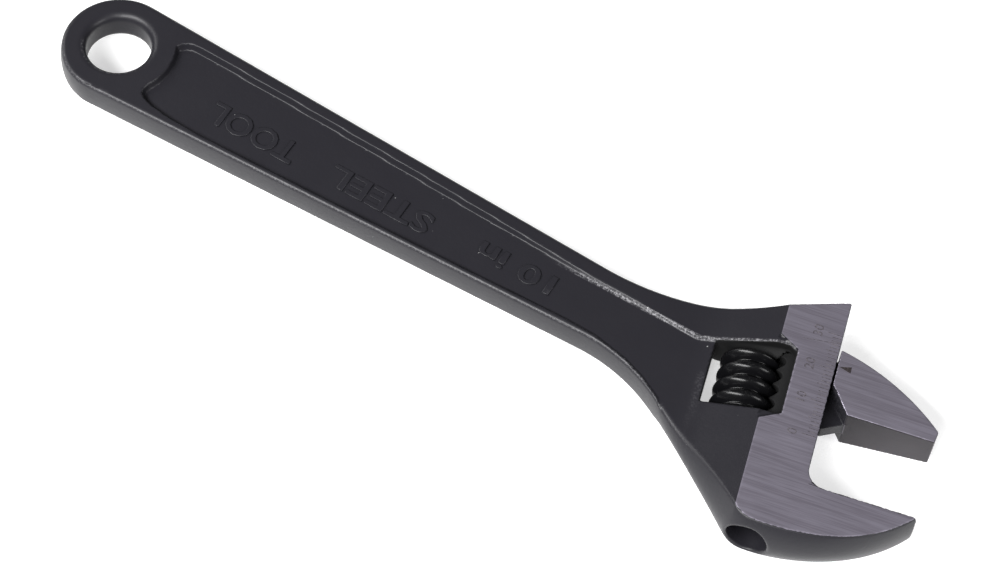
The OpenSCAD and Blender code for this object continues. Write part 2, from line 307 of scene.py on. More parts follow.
def meet(p, a, q, b):
    """Where the line through p at angle a meets the line through q at angle b, in degrees."""
    a, b = math.radians(a), math.radians(b)
    dx, dy = q[0] - p[0], q[1] - p[1]
    k = (dx * math.sin(b) - dy * math.cos(b)) / math.sin(b - a)
    return np.array([p[0] + k * math.cos(a), p[1] + k * math.sin(a)])


def corner_arc(c, a, b, r, n=40):
    """Arc of radius r that touches a line arriving at c at angle a and one leaving at angle b."""
    turn = 1 if b > a else -1
    t = r * abs(math.tan(math.radians(b - a) / 2))
    p = np.array(c) - t * np.array([math.cos(math.radians(a)), math.sin(math.radians(a))])
    centre = p + turn * r * np.array([-math.sin(math.radians(a)), math.cos(math.radians(a))])
    return arc(centre, r, a - turn * 90, b - turn * 90, n)


def heel_chain():
    """The fixed jaw's back, the heel's corner arc and the start of the heel side, in handle axes.
    The corner's centre is heel_r inside both the back's circle and the heel side."""
    side = math.radians(HEEL_SIDE)
    d = np.array([math.cos(side), -math.sin(side)])
    inward = np.array([math.sin(side), math.cos(side)])
    p = np.array(to_head(HEEL_X, 0.0))
    q = p + HEEL_R * inward - BACK_C
    k = -q @ d + math.sqrt((q @ d) ** 2 - q @ q + (BACK_R - HEEL_R) ** 2)
    c = BACK_C + q + k * d
    out = (c - BACK_C) / np.linalg.norm(c - BACK_C)
    a0 = math.degrees(math.atan2(out[1], out[0]))
    a1 = math.degrees(math.atan2(-inward[1], -inward[0]))
    back = arc(BACK_C, BACK_R, 0, a0, 90)
    corner = arc(c, HEEL_R, a0, a1, 30)
    both = np.concatenate([back, corner])
    return np.stack(from_head(both[:, 0], both[:, 1]), axis=1)


def body_outline():
    """Eye, jaw side, far end, fixed jaw's back, heel and heel side, in one clockwise chain."""
    deg = math.degrees(TAPER)
    eye_top = EYE_R * np.array([math.sin(TAPER), math.cos(TAPER)])
    heel_turn = math.degrees(HEAD_ANGLE) - HEEL_SIDE
    top_turn = math.degrees(HEAD_ANGLE) + TOP_SLOPE
    top_corner = np.array(from_head(0.0, TOP_V))
    top_root = meet(eye_top, -deg, top_corner, top_turn)
    heel_root = meet([eye_top[0], -eye_top[1]], deg, [HEEL_X, 0], heel_turn)
    past_mouth = TOP_V + 16.0 * math.tan(math.radians(TOP_SLOPE))
    far = np.array([from_head(16.0, past_mouth), from_head(44.0, 62.0)])
    chain = [arc((0, 0), EYE_R, 270 + deg, 90 - deg, 80),
             corner_arc(top_root, -deg, top_turn, FLARE_TOP_R), far, heel_chain(),
             corner_arc(heel_root, deg, heel_turn, FLARE_HEEL_R)[::-1]]
    return np.concatenate(chain)


outline = Plan(body_outline(), PLAN_LOW, PLAN_HIGH)
print("half width at the neck:", round(float(-outline(np.array([NECK_X]), np.array([0.0]))[0]), 2))

# %% [markdown]
# ## The sunk panel
# Between two rims the handle is sunk to a thin web, which saves steel and stiffens the tool like
# a girder. The panel ends in an arc round the eye, narrows along the handle, and opens on the
# heel side into the forged cheek. Its lower rim is narrower than the upper one. Its edge is a
# chain of points, blurred a little so that its corners come out as round as the die leaves them.

# %% Panel between the rims
def panel_outline():
    """Upper edge towards the head, round the worm's window to the ground band, and back below."""
    upper = [(14.4, 8.7), (16.0, 9.7), (18.2, 10.1), (21, 10.1), (51, 9.2), (82, 8.0),
             (113, 6.5), (141, 4.9), (150, 4.9), (158, 4.7), (167, 4.3), (172, 4.2)]
    head = [(-30.2, 34.0), (-28, 32.0), (-14, 32.0), (-14, -34), (-42, -34)]
    lower = [(177, -21.5), (172, -15.9), (166, -12.8), (160, -10.6), (150, -8.7), (141, -8.5),
             (113, -9.6), (82, -10.7), (51, -11.7), (34, -12.2), (24, -11.9), (18, -11.1),
             (15.6, -10.3), (14.3, -9.4), (13.9, -8.2), (14.1, -7.1)]
    head = [from_head(u, v) for u, v in head]
    end_round_the_eye = arc((0, 0), 15.6, -26, 29, 24)
    return np.concatenate([upper, head, lower, end_round_the_eye])


panel = Plan(panel_outline(), PLAN_LOW, PLAN_HIGH, blur=2)
mid_panel = -panel(np.array([80.0]), np.array([0.0]))[0]
print("panel half width at mid handle:", round(float(mid_panel), 2))

# %% [markdown]
# ## Heights and the field of the forging
# One height over the mid-plane says how thick the steel is at each place: the web, the rims, the
# cheeks that rise to the head, and the ground faces that fall gently towards the tips. The side
# walls swell by up to three millimetres at the parting line. Then the cutter's work is taken
# away: the hang hole, the worm's window, the bore of the shank, the slot of the neck and the jaw
# opening itself.

# %% Thickness of the steel
GROUND_H, GROUND_SLOPE = 7.43, 0.072
RIM_H, WEB_H, WEB_RISE = 4.38, 2.3, 1.3
BAND_U, CHEEK_H = -15.0, 8.51                       # left edge of the ground band, height there
WEB_SLOPE, RIM_SLOPE = 0.29, 0.235                  # how fast both run up to the band
RELIEF_U, RELIEF_LOW, RELIEF_TOP = -10.15, 13.9, 38.5
RELIEF_DEEP, SLANT = 0.3, (0.51, 0.86)
MOUTH_R, TIP_U = 4.5, 28.2
HOLE_R, HOLE_ROUND = 8.5, 2.1
BORE_R, SLOT_HALF = 5.22, 2.2
PIN_BORE_R, PIN_HEAD_BORE_R = 2.27, 3.08
WINDOW_LOW, WINDOW_HIGH, WINDOW_ROUND = (-30.3, 16.4), (-10.2, 34.0), 0.6


def ground_height(u):
    """Height of the ground faces: a plane that falls by 0.072 for each millimetre towards the tips."""
    return GROUND_H - GROUND_SLOPE * u


def relief(u, v):
    """Depth inside the lowered strip between the window and the ground band: a long six-sided
    shape whose two right corners are cut off at a slant. Negative inside."""
    slant_top = (u - BAND_U) * SLANT[0] + (v - RELIEF_TOP) * SLANT[1]
    slant_low = (u - BAND_U) * SLANT[0] - (v - RELIEF_LOW) * SLANT[1]
    return larger(larger(slant_top, slant_low), u - RELIEF_U)


def window_flare(u):
    """How far the window's upper edge leans out at the faces: it grows along u, and then falls
    along the slant of the lowered strip."""
    lean = smaller((u + 30.0) * 0.14, 3.8 - (u - BAND_U) * 0.593)
    return smaller(larger(lean, 0.0), 2.2)


def past_window(u, v, flare):
    """How far a point is past the window's nearer end along u, and along v."""
    return (larger(WINDOW_LOW[0] - u, u - WINDOW_HIGH[0]),
            larger(WINDOW_LOW[1] - v, v - WINDOW_HIGH[1] - flare))


def body_height(x, y, u, v):
    """Web level and rim level, each blended into its cheek, with a steep smooth step at the panel's
    edge, and nowhere above the ground faces."""
    flat_web = WEB_H + WEB_RISE * step((x - 95) / 50)
    web = soft_max(flat_web, CHEEK_H + WEB_SLOPE * (u - BAND_U), 1.2)
    rim = soft_max(RIM_H, CHEEK_H + RIM_SLOPE * (u - BAND_U), 1.2)
    h = web + (rim - web) * step((panel(x, y) + 0.3) / 0.95)
    h = np.minimum(h, ground_height(u))
    return h - RELIEF_DEEP * step(-relief(u, v) / 0.35) * step((u - BAND_U + 0.4) / 0.3)


def swell(x, y, u):
    """How far the wall at the faces stands inside the parting line: little on the handle, most at
    the heel, less again towards the jaw's tip."""
    heel = 0.3 + 2.7 * step((x - 168) / 30) - 2.1 * step((u + 4) / 32)
    return np.where(y < 0.1 * (x - 150), heel, 0.5)


def body_field(x, y, z):
    """The forging: swollen outline and heights, less everything that the cutters take away. The
    forging is a little fuller than the outline, and up to 0.55 mm more so on its heel side."""
    u, v = to_head(x, y)
    h = body_height(x, y, u, v)
    az = np.abs(z)
    fuller = 0.28 + 0.55 * step((2 - y) / 4) * step((205 - x) / 30) * step((x + 16) / 14)
    side = outline(x, y) - fuller + swell(x, y, u) * np.clip(az / np.maximum(h, 2), 0, 1.3) ** 2
    edge = 1.0 - 0.65 * step((x - 170) / 25)
    f = round_max(side, (az - h) * 0.97, edge)
    throat = MOUTH_R - np.hypot(np.maximum(MOUTH_R - u, 0), np.maximum(MOUTH_R - v, 0))
    mouth = np.where(np.minimum(u, v) > MOUTH_R, np.minimum(u, v), throat)
    f = round_max(f, mouth, 0.25)
    f = round_max(f, u - TIP_U, 0.3)
    f = round_max(f, np.where(x < 30, HOLE_R - np.hypot(x, y), -9.0), HOLE_ROUND)
    wu, wv = past_window(u, v, window_flare(u) * step((az - 3) / 3))
    wu, wv = wu + WINDOW_ROUND, wv + WINDOW_ROUND
    window = np.hypot(np.maximum(wu, 0), np.maximum(wv, 0)) + np.minimum(np.maximum(wu, wv), 0)
    f = round_max(f, WINDOW_ROUND - window, 0.4)
    bore = BORE_R - np.hypot(u - SHANK_U, z)
    f = round_max(f, bore, np.where(v < -8, 1.0, 0.3))
    ramp = (v + 3.1) * 0.87 - (u - 0.45) * 0.49
    slot = np.minimum(np.minimum(SLOT_HALF - az, u - SHANK_U), np.minimum(v + 3.1, ramp))
    f = round_max(f, np.where(u < 6.0, slot, np.minimum(slot, 6.0 - u)), 0.2)
    pin = np.hypot(u - WORM_U, z)
    f = np.maximum(f, np.minimum(PIN_BORE_R - pin, v - 8.3))
    return np.maximum(f, np.minimum(PIN_HEAD_BORE_R - pin, v - 38.9))


CELL = 0.53
forging = put_mesh("wrench_body", *forge(body_field, (-16.4, -41.5, -9.6), (244.5, 35.5, 9.6), CELL))

# %% [markdown]
# ## The sliding jaw
# The jaw, its thin neck and its round shank with the rack are one piece of steel. The rack's
# teeth are the shape that the worm's thread leaves free, so they come from the thread's own
# profile with a little clearance, tilted by the thread's lead.

# %% Thread profile and the jaw's field
THREAD_ROOT, THREAD_H, THREAD_GAP = 5.25, 2.6, 0.34
LEAD = PITCH / (2 * math.pi * 7.2)      # rise for each millimetre round the worm


def thread(phase):
    """Height of the thread over the worm's axis: the root plus the thread's height times a power
    of the size of the cosine of half the phase, so that crests are broad and valleys narrow."""
    return THREAD_ROOT + THREAD_H * (np.cos(phase / 2) ** 2 * 0.97 + 0.03) ** 0.38


JAW_C, JAW_R = (-11.0, OPENING - 39.0), 58.5    # circle of the jaw's back
JAW_U, JAW_ROOT_W, JAW_TIP_U = 0.45, 7.4, 28.5  # w is v over the gripping face
SHANK_LOW, SHANK_HIGH = -12.7, 23.3


def jaw_field(x, y, z):
    """Jaw, neck and shank joined, less the rack's grooves. The jaw and the neck meet in a small
    fillet: a quarter circle where both fields are short of its radius."""
    u, v = to_head(x, y)
    w = v - OPENING
    az = np.abs(z)
    h = ground_height(u)
    back = np.hypot(u - JAW_C[0], v - JAW_C[1]) - JAW_R
    back = back + 1.1 * np.clip(az / h, 0, 1.2) ** 2 - 0.3
    root = -(w - JAW_ROOT_W) * 0.577 - (u - JAW_U) * 0.817
    jaw = np.maximum(np.maximum(JAW_U - u, -w), root)
    tip = np.maximum(u - JAW_TIP_U, (u - JAW_TIP_U + 0.45) * 0.99 - w * 0.14)
    jaw = round_max(round_max(jaw, tip, 0.15), az - h, 0.2)
    jaw = round_max(jaw, back, 0.35)
    low = np.maximum(-2.8 - w, -(w + 2.8) * 0.88 + (u - JAW_U) * 0.48)
    neck = np.maximum(np.maximum(az - 2.0, low), np.maximum(u - 7.6, w - 17 + 0.15 * u))
    neck = np.maximum(neck, SHANK_U - u)
    ends = np.maximum(SHANK_LOW - w, w - SHANK_HIGH)
    shank = round_max(np.hypot(u - SHANK_U, z) - SHANK_R, ends, 0.5)
    phase = 2 * math.pi * (v + z * LEAD - WORM_V0) / PITCH
    groove = (WORM_U + thread(phase) + THREAD_GAP - u) / 1.5
    shank = round_max(shank, groove, 0.12)
    neck = round_max(neck, WORM_U + 8.2 - u, 0.1)
    joined = np.minimum(jaw, np.minimum(neck, shank))
    fillet = 0.5
    a, b = np.maximum(fillet - jaw, 0), np.maximum(fillet - neck, 0)
    return np.minimum(joined, np.maximum(fillet, np.minimum(jaw, neck)) - np.hypot(a, b))


jaw_low, jaw_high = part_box("movable_jaw")
jaw_low = [c / MM - 1.5 for c in jaw_low]
jaw_high = [c / MM + 1.5 for c in jaw_high]
jaw = put_mesh("sliding_jaw", *forge(jaw_field, jaw_low, jaw_high, CELL * 0.6))

# %% [markdown]
# ## The worm
# The thumb turns a short screw with a rounded thread. Its surface is one grid of two parameters:
# the angle round the axis, and the way along a closed profile that goes up the thread, over the
# end and back down through the bore, so that the piece has no open edge.

# %% Threaded surface
def in_place(u, z_across, v):
    """Points given in the head's frame as handle coordinates, stacked for a mesh."""
    x, y = from_head(u, v)
    return np.stack([x, y, z_across + 0 * x], axis=-1)


def wrap_grid(rows, columns, closed_rows=True):
    """Faces of a grid of rows by columns that closes round its columns, and round its rows too."""
    i, j = np.meshgrid(np.arange(rows if closed_rows else rows - 1), np.arange(columns), indexing="ij")
    i, j = i.ravel(), j.ravel()
    i2, j2 = (i + 1) % rows, (j + 1) % columns
    return np.stack([i * columns + j, i2 * columns + j, i2 * columns + j2, i * columns + j2], axis=1)


def worm_surface(around=112, along=190):
    """Radius is the thread's height at a phase of two pi for each pitch of rise, less the angle;
    near both ends it is kept under a chamfer. The bore's radius follows in the same grid."""
    s = np.linspace(0, 1, along)
    v = WORM_V0 + (WORM_V1 - WORM_V0) * s
    angle = np.linspace(0, 2 * math.pi, around, endpoint=False)
    vv, aa = np.meshgrid(v, angle, indexing="ij")
    r = thread(2 * math.pi * (vv - WORM_V0) / PITCH - aa)
    to_end = np.minimum(vv - WORM_V0, WORM_V1 - vv)
    r = -soft_max(-r, -(5.9 + 1.3 * to_end), 0.35)
    bore_v = np.array([WORM_V1, WORM_V1, WORM_V0 + 4.7, WORM_V0 + 4.7, WORM_V0, WORM_V0])
    bore_r = np.array([4.3, 2.27, 2.27, 3.3, 3.3, 4.6])
    vv = np.concatenate([vv, np.repeat(bore_v[:, None], around, 1)])
    r = np.concatenate([r, np.repeat(bore_r[:, None], around, 1)])
    aa = np.concatenate([aa, np.repeat(angle[None], len(bore_v), 0)])
    points = in_place(WORM_U + r * np.cos(aa), -r * np.sin(aa), vv)
    return points.reshape(-1, 3), wrap_grid(points.shape[0], around)


worm = put_mesh("thumb_worm", *worm_surface())

# %% [markdown]
# ## The spring and the pin
# A short coil spring in the worm's lower end takes up its slack. It is a circle carried along a
# helix. The pin is a plain turned part with a slotted head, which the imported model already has
# right, so it only gets a finish.

# %% Coil spring
def spring_surface(turns=3.5, around=12, steps=260):
    """Centre line on a helix, with a wire circle across it: outward and along the axis. The wire
    thins to a point at both ends."""
    t = np.linspace(0, 1, steps)
    angle = 2 * math.pi * turns * t
    b = np.linspace(0, 2 * math.pi, around, endpoint=False)
    aa, bb = np.meshgrid(angle, b, indexing="ij")
    wire = 0.3 * np.sqrt(np.clip(1 - np.abs(2 * t - 1) ** 60, 0.0004, 1))[:, None]
    r = 3.04 + wire * np.cos(bb)
    v = 16.4 + 0.36 + 4.25 * t[:, None] + wire * np.sin(bb)
    points = in_place(WORM_U + r * np.cos(aa), -r * np.sin(aa), v).reshape(-1, 3)
    return points, wrap_grid(steps, around, closed_rows=False)


spring = put_mesh("worm_coil_spring", *spring_surface())
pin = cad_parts["worm_pin"]

# %% [markdown]
# ## Outward faces
# A grid can come out inside out, and it is hard to see by eye. The signed volume under the faces
# tells: it is positive when the faces point out. The check turns a mesh that is wrong.

# %% Signed volume
def point_outwards(obj):
    """Sum over all faces of one sixth of the triple product of three corners; turned if negative."""
    mesh = obj.data
    mesh.calc_loop_triangles()
    tri = np.empty(len(mesh.loop_triangles) * 3, np.int32)
    mesh.loop_triangles.foreach_get("vertices", tri)
    co = np.empty(len(mesh.vertices) * 3, np.float32)
    mesh.vertices.foreach_get("co", co)
    a, b, c = np.moveaxis(co.reshape(-1, 3)[tri.reshape(-1, 3)].astype(float), 1, 0)
    volume = float(np.einsum("ij,ij->i", a, np.cross(b, c)).sum() / 6)
    if volume < 0:
        mesh.flip_normals()
    print(obj.name, "volume", round(abs(volume) * 1e9), "mm3", len(tri) // 3, "triangles",
          "turned" if volume < 0 else "")


for piece in (forging, jaw, worm, spring):
    point_outwards(piece)

# %% [markdown]
# ## Marks on the ground faces
# The head carries a scale in millimetres and an arrow on the jaw points at the reading. On the
# tool they are cut and darkened. Ticks, digits and one stray scratch are thin inlays, sunk nearly
# flush, so that they are crisp at any distance.

# %% Inlays
INLAY_TOP, INLAY_DEEP = 0.045, 0.12


def inlay_boxes(name, quads):
    """Closed thin plates: four corners in u and v, on the ground plane, at two depths."""
    q = np.asarray(quads, float)
    top = in_place(q[..., 0], ground_height(q[..., 0]) + INLAY_TOP, q[..., 1])
    low = in_place(q[..., 0], ground_height(q[..., 0]) - INLAY_DEEP, q[..., 1])
    points = np.concatenate([top, low], axis=1).reshape(-1, 3)
    box = np.array([[0, 1, 2, 3], [7, 6, 5, 4], [0, 4, 5, 1], [1, 5, 6, 2], [2, 6, 7, 3], [3, 7, 4, 0]])
    faces = (np.arange(len(q))[:, None, None] * 8 + box[None]).reshape(-1, 4)
    obj = put_mesh(name, points, faces)
    obj.data.shade_flat()
    return obj


def tick_quads(first=13.0, count=31, width=0.2):
    """One tick for each millimetre from the zero mark, longer at the fives and tens."""
    n = np.arange(count)
    length = np.where(n % 10 == 0, 3.6, np.where(n % 5 == 0, 3.1, 2.3))
    right = np.full(count, -0.35)
    left, low, high = right - length, first + n - width / 2, first + n + width / 2
    corners = [(left, low), (right, low), (right, high), (left, high)]
    return np.stack([np.stack(corner, 1) for corner in corners], 1)


ticks = inlay_boxes("scale_ticks", tick_quads())
scratch = inlay_boxes("stray_scratch",
                      [[(-10.0, 39.25), (-0.3, 40.6), (-0.3, 40.8), (-10.0, 39.35)]])
arrow = inlay_boxes("jaw_arrow", [[(0.95, 34.3), (3.9, 33.4), (3.9, 34.3), (3.9, 35.2)]])

# %% [markdown]
# Digits come from Blender's own plain font as flat outlines with a little thickness. They are
# made meshes first, and then their points are carried to the head's frame and laid on the face.

# %% Digits of the scale
def letters(name, word, extrude, bevel, resolution):
    """Object and points of a word that lies centred at the origin, in type of size one."""
    curve = bpy.data.curves.new(name, "FONT")
    curve.body, curve.size, curve.extrude, curve.bevel_depth = word, 1.0, extrude, bevel
    curve.align_x, curve.align_y, curve.resolution_u = "CENTER", "CENTER", resolution
    source = bpy.data.objects.new(name + "_text", curve)
    bpy.context.scene.collection.objects.link(source)
    bpy.context.view_layer.update()
    drawn = source.evaluated_get(bpy.context.evaluated_depsgraph_get())
    mesh = bpy.data.meshes.new_from_object(drawn)
    mesh.name = name
    bpy.data.objects.remove(source)
    co = np.empty(len(mesh.vertices) * 3, np.float32)
    mesh.vertices.foreach_get("co", co)
    obj = bpy.data.objects.new(name, mesh)
    bpy.context.scene.collection.objects.link(obj)
    return obj, co.reshape(-1, 3).astype(float)


def move_points(obj, points):
    """New places in millimetres for the points of an object's mesh."""
    obj.data.vertices.foreach_set("co", (points * MM).astype(np.float32).ravel())
    return obj


def digits(name, word, u0, v0, height):
    """Word on the ground face, centred on u0, v0 and turned so that it reads along v."""
    obj, co = letters(name, word, 0.5, 0.0, 4)
    u, v = u0 - co[:, 1] * height, v0 + co[:, 0] * height
    z = ground_height(u) + np.where(co[:, 2] > 0, INLAY_TOP, -INLAY_DEEP)
    return move_points(obj, in_place(u, z, v))


numbers = [digits(f"scale_number_{n}", str(n), -6.3, 12.8 + n, 3.4) for n in (0, 10, 20, 30)]
print(len(numbers), "numbers")

# %% [markdown]
# Raised words stand on the web of the handle, as the die leaves them. A real tool says who made
# it; here they are plain words that belong to nobody. Each letter has a small round on its edge.

# %% Words on the handle
WORD_SUNK, WORD_THICK = 0.2, 0.62


def raised_word(name, word, x0, y0, length, height):
    """Word with rounded edges, read from the head's end: it is stretched to a length and a height
    on the handle, and its lower part is sunk in the web."""
    obj, co = letters(name, word, 0.03, 0.022, 3)
    share = (co - co.min(axis=0)) / np.ptp(co, axis=0)
    x = x0 + (1 - share[:, 0]) * length
    y = y0 + (1 - share[:, 1]) * height
    z = body_height(x, y, *to_head(x, y)) - WORD_SUNK + share[:, 2] * WORD_THICK
    return move_points(obj, np.stack([x, y, z], 1))


words = [raised_word("word_tool", "TOOL", 31.5, -6.9, 26.0, 7.0),
         raised_word("word_steel", "STEEL", 68.0, -6.3, 30.0, 6.6),
         raised_word("word_size", "10 in", 112.0, -5.2, 22.0, 6.0)]
print(len(words), "words")

# %% [markdown]
# ## Shader maths as plain expressions
# A small class holds a node tree, and another wraps one socket. With the usual operators on the
# wrapped socket, a mask reads like a line of arithmetic instead of a drawing of boxes.

# %% Socket class
class Value:
    """One number socket. Arithmetic on it adds Math nodes."""

    def __init__(self, shader, socket):
        self.shader, self.socket = shader, socket

    def _math(self, kind, *values):
        return Value(self.shader, self.shader.node("ShaderNodeMath", {"operation": kind}, values))

    def __add__(self, o): return self._math("ADD", self, o)
    def __radd__(self, o): return self._math("ADD", o, self)
    def __sub__(self, o): return self._math("SUBTRACT", self, o)
    def __rsub__(self, o): return self._math("SUBTRACT", o, self)
    def __mul__(self, o): return self._math("MULTIPLY", self, o)
    def __rmul__(self, o): return self._math("MULTIPLY", o, self)
    def abs(self): return self._math("ABSOLUTE", self)
    def max(self, o): return self._math("MAXIMUM", self, o)
    def min(self, o): return self._math("MINIMUM", self, o)

    def ramp(self, low, high):
        """Nought below low, one above high, smooth between."""
        return Value(self.shader, self.shader.node(
            "ShaderNodeMapRange", {"interpolation_type": "SMOOTHSTEP"}, [self, low, high, 0.0, 1.0]))


class Shader:
    """A material's node tree, with one method that makes any node."""

    def __init__(self, name):
        self.material = bpy.data.materials.new(name)
        self.material.use_nodes = True
        self.tree = self.material.node_tree
        self.bsdf = next(n for n in self.tree.nodes if n.type == "BSDF_PRINCIPLED")
        coordinates = self.tree.nodes.new("ShaderNodeTexCoord")
        self.object_point = coordinates.outputs["Object"]

    def put(self, target, value):
        value = value.socket if isinstance(value, Value) else value
        if isinstance(value, bpy.types.NodeSocket):
            self.tree.links.new(value, target)
        else:
            target.default_value = value

    def node(self, kind, settings, inputs, output=0):
        """A node of a kind: settings first, then inputs by place or by name, then one output."""
        n = self.tree.nodes.new(kind)
        for key, value in settings.items():
            setattr(n, key, value)
        pairs = inputs.items() if isinstance(inputs, dict) else enumerate(inputs)
        for key, value in pairs:
            if value is not None:
                self.put(n.inputs[key], value)
        return n.outputs[output]

    def axes(self):
        """x, y, z in millimetres, and u, v of the head."""
        split = self.tree.nodes.new("ShaderNodeSeparateXYZ")
        self.put(split.inputs[0], self.object_point)
        x, y, z = [Value(self, s) * 1000.0 for s in split.outputs]
        dx, dy = x - HEAD_X, y - HEAD_Y
        return x, y, z, dx * COS + dy * SIN, dy * COS - dx * SIN

    def noise(self, x, y, z, scale, detail=3.0, rough=0.5):
        """Soft noise of about nought to one at a point made of three numbers."""
        point = self.node("ShaderNodeCombineXYZ", {}, [x, y, z])
        return Value(self, self.node("ShaderNodeTexNoise", {}, {
            "Vector": point, "Scale": scale, "Detail": detail, "Roughness": rough}))

    def mix(self, factor, a, b):
        """Colour between a and b."""
        return self.node("ShaderNodeMix", {"data_type": "RGBA"}, {0: factor, 6: a, 7: b}, 2)

    def bump(self, height, distance, strength=1.0):
        self.put(self.bsdf.inputs["Normal"], self.node(
            "ShaderNodeBump", {}, {"Strength": strength, "Distance": distance, "Height": height}))

    def wear(self, obj):
        obj.data.materials.clear()
        obj.data.materials.append(self.material)
        return self.material


print("shader helpers ready")

# %% [markdown]
# ## Black finish and ground steel
# The forging is blackened all over and then ground on both faces of the head, which cuts through
# the black to bare steel. So the ground face is simply where the surface lies in the grinding
# plane, and the mask is the height over it. Grinding leaves fine lines along u. The black is
# slightly pebbled. Its colour is lightened with painted highlight along the round of the handle's
# heel side edge and along the die's rough step, which is also speckled. It is darkened with
# painted shade on the walls of the worm's window.

# %% Finish of the steel
BAND_EDGE = BAND_U - 0.15       # the steel starts a trace left of the band
BLACK = (0.0119, 0.0114, 0.0147, 1)
# Painted shade: near black used where shade falls, in the worm's window and on the jaw's neck and rack.
BLACK_PAINTED_SHADE = (0.0015, 0.0015, 0.0018, 1)
# Lighter rubbed black, also used as painted highlight on the heel side edge and the die's rough step.
BLACK_RUB_AND_HIGHLIGHT = (0.18, 0.177, 0.188, 1)
STEEL = (0.36, 0.335, 0.408, 1)
STEEL_DARK = (0.26, 0.238, 0.29, 1)
FACE_STEEL = (0.046, 0.042, 0.047, 1)
DUST = (0.3, 0.3, 0.3, 1)


def grain(s, u, v, z):
    """Fine lines along u: noise that changes a hundred times faster across than along."""
    fine = s.noise(u * 0.06, v * 4.2, z * 0.3, 1.0, 4.0, 0.7)
    long = s.noise(u * 0.02 + 9.0, v * 0.9 + u * 0.05, z * 0.3, 1.0, 2.0, 0.5)
    return fine * 0.6 + long * 0.4


def ground_mask(s, u, v, z):
    """One on the grinding plane, with an uneven edge, nought a tenth of a millimetre under it."""
    under = ground_height(u) - z.abs()
    ragged = s.noise(u, v, z, 1.4, 3.0) * 0.09
    return 1.0 - (under + ragged).ramp(0.09, 0.14)


def band_mask(s, u, v, z):
    """One on the head's ground band: right of its forged edge and outside the lowered strip."""
    return (u - BAND_EDGE).ramp(0.0, 0.2) * relief(u, v).ramp(0.1, 0.3)


def pocket(s, u, v, z):
    """One on the walls of the worm's window, where painted shade darkens the black."""
    return 1.0 - larger(*past_window(u, v, window_flare(u))).ramp(0.05, 0.3)


def steel_and_black(name, bare_face, rub, band, dark):
    """Mixed finish. bare_face gives one more mask of bare steel, rub gives where the black is rough and
    lighter, partly painted highlight, band limits the ground faces, and dark gives where painted shade
    darkens the black."""
    s = Shader(name)
    x, y, z, u, v = s.axes()
    ground = ground_mask(s, u, v, z) * band(s, u, v, z)
    face = bare_face(s, u, v, z)
    lines = grain(s, u, v, z)
    cloud = s.noise(x, y, z, 0.12, 3.0)
    orange = s.noise(x, y, z, 0.75, 2.0)
    pebble = s.noise(x, y, z, 1.7, 4.0, 0.6)
    speck = s.noise(x, y, z, 1.5, 3.0, 0.8).ramp(0.47, 0.62)
    dust = s.noise(x, y, z, 0.9, 1.0).ramp(0.82, 0.84)
    # Lighter rubbed black: real roughness, and painted highlight on the heel side edge and the die's
    # rough step.
    black = s.mix(rub(s, x, y, z, u, v) * (0.08 + speck * 0.92), BLACK, BLACK_RUB_AND_HIGHLIGHT)
    # Painted shade: near black where shade falls, in the worm's window and on the jaw's neck and rack.
    deep = dark(s, u, v, z)
    black = s.mix(deep, black, BLACK_PAINTED_SHADE)
    black = s.mix(dust * 0.8, black, DUST)
    steel = s.mix(lines.ramp(0.36, 0.62), STEEL_DARK, STEEL)
    steel = s.mix(face, steel, FACE_STEEL)
    bare = ground.max(face)
    s.put(s.bsdf.inputs["Base Color"], s.mix(bare, black, steel))
    s.put(s.bsdf.inputs["Metallic"], bare * 0.85)
    s.put(s.bsdf.inputs["Roughness"], 0.36 + cloud * 0.1 + bare * 0.02 + deep * 0.3)
    s.bsdf.inputs["Specular IOR Level"].default_value = 0.3
    height = (pebble * 0.6 + orange * 0.9) * (1.0 - bare) + lines * bare * 0.5
    s.bump(height, 0.00005, 0.7)
    return s


def fixed_faces(s, u, v, z):
    """Bare on the fixed jaw's gripping face, where the cutter went."""
    return (u - 0.6).ramp(0.0, 0.3) * (1.0 - v.abs().ramp(0.04, 0.1))


def forged_step(s, x, y, z, u, v):
    """Rough and lighter along the step between rim and web, from the neck to the window, real roughness
    with painted highlight, and a thin painted highlight along the round of the handle's heel side edge."""
    mid = y - 4.65 - (x - 172.5).max(0.0) * 0.41
    near = 1.0 - mid.abs().ramp(0.25, 0.75)
    along = (x - 128.0).ramp(0.0, 16.0) * (1.0 - (x - 192.0).ramp(0.0, 3.0))
    # Painted highlight along the round of the heel side edge.
    edge_highlight = (z.abs() - 3.75).ramp(0.0, 0.2) * (1.0 - (z.abs() - 4.2).ramp(0.0, 0.12))
    edge_highlight = edge_highlight * (-3.0 - y).ramp(0.0, 2.0) * (1.0 - (x - 172.0).ramp(0.0, 12.0))
    return (near * along * (z - 2.5).ramp(0.0, 0.5)).max(edge_highlight * 0.3)


# The rough step and heel side edge get painted highlight, and the window's walls get painted shade.
body_finish = steel_and_black("black_forging", fixed_faces, forged_step, band_mask, pocket)
body_finish.wear(forging)


def jaw_faces(s, u, v, z):
    """Bare on the sliding jaw's gripping face and its tip."""
    grip = (1.0 - (v - OPENING).abs().ramp(0.06, 0.14)) * (u - 5.5).ramp(0.0, 0.2)
    tip = (u - JAW_TIP_U + 0.65 - (v - OPENING) * 0.14).ramp(0.0, 0.12)
    return grip.max(tip)


def jaw_rub(s, x, y, z, u, v):
    """Slightly rubbed where the jaw's own walls show, and not on the neck or the shank."""
    return (u - 0.2).ramp(0.0, 0.3) * (z.abs() - 2.2).ramp(0.0, 0.2) * 0.1


def jaw_band(s, u, v, z):
    """The jaw is ground from its root on."""
    return (u - BAND_EDGE).ramp(0.0, 0.2)


def neck_and_shank(s, u, v, z):
    """One on the rack and on the neck, which lie in the head's bore and slot, where painted shade
    darkens the black; nought on the jaw's own walls.
    """
    return 1.0 - (u + 0.4).ramp(0.0, 0.4)


